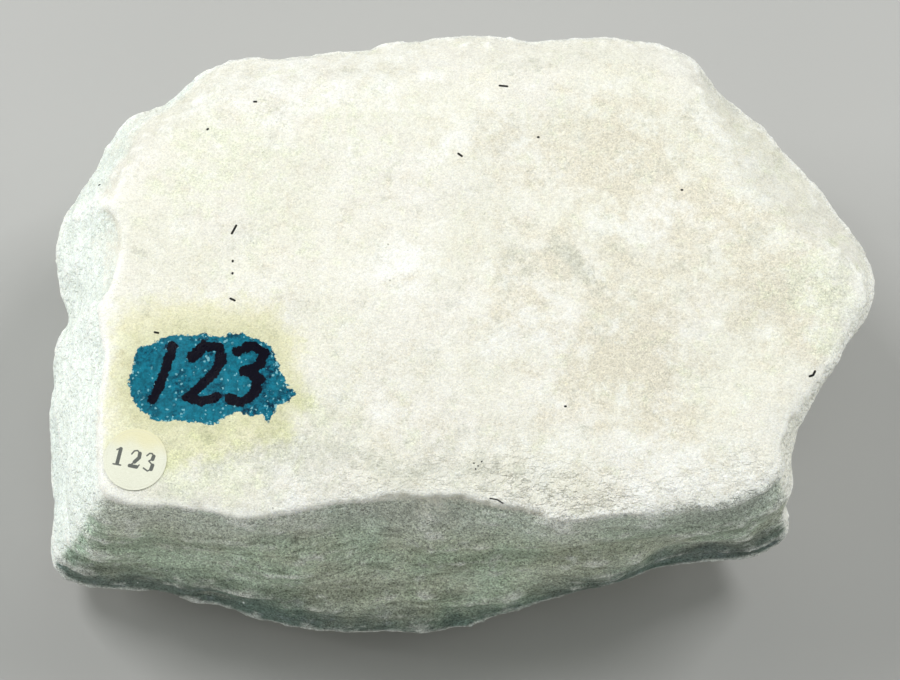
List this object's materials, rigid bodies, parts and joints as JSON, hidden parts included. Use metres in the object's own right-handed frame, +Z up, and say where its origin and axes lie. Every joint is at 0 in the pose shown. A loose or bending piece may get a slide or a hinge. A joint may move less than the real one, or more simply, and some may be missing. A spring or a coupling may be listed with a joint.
{
  "type": "marble block",
  "caption": "Broken block of white marble with a broad flat face, steep sides and ledges, and a round paper number label.",
  "frame": {"origin": "under the middle of the block's bounding box, on the plane that it rests on", "axes": "+Z up through the broad face, +X along the block's length towards its pointed end, -Y towards the steep front side"},
  "size_m": [0.1202, 0.0848, 0.0356],
  "materials": {
    "white_marble": "rough sugary fracture, translucent white with cream and grey-green tints; one patch of blue paint with inked numerals",
    "label_paper": "matt cream paper with a thin printed border and printed numerals"
  },
  "bodies": {
    "root": {"marble_block": "white_marble", "number_label": "label_paper"}
  },
  "joints": []
}
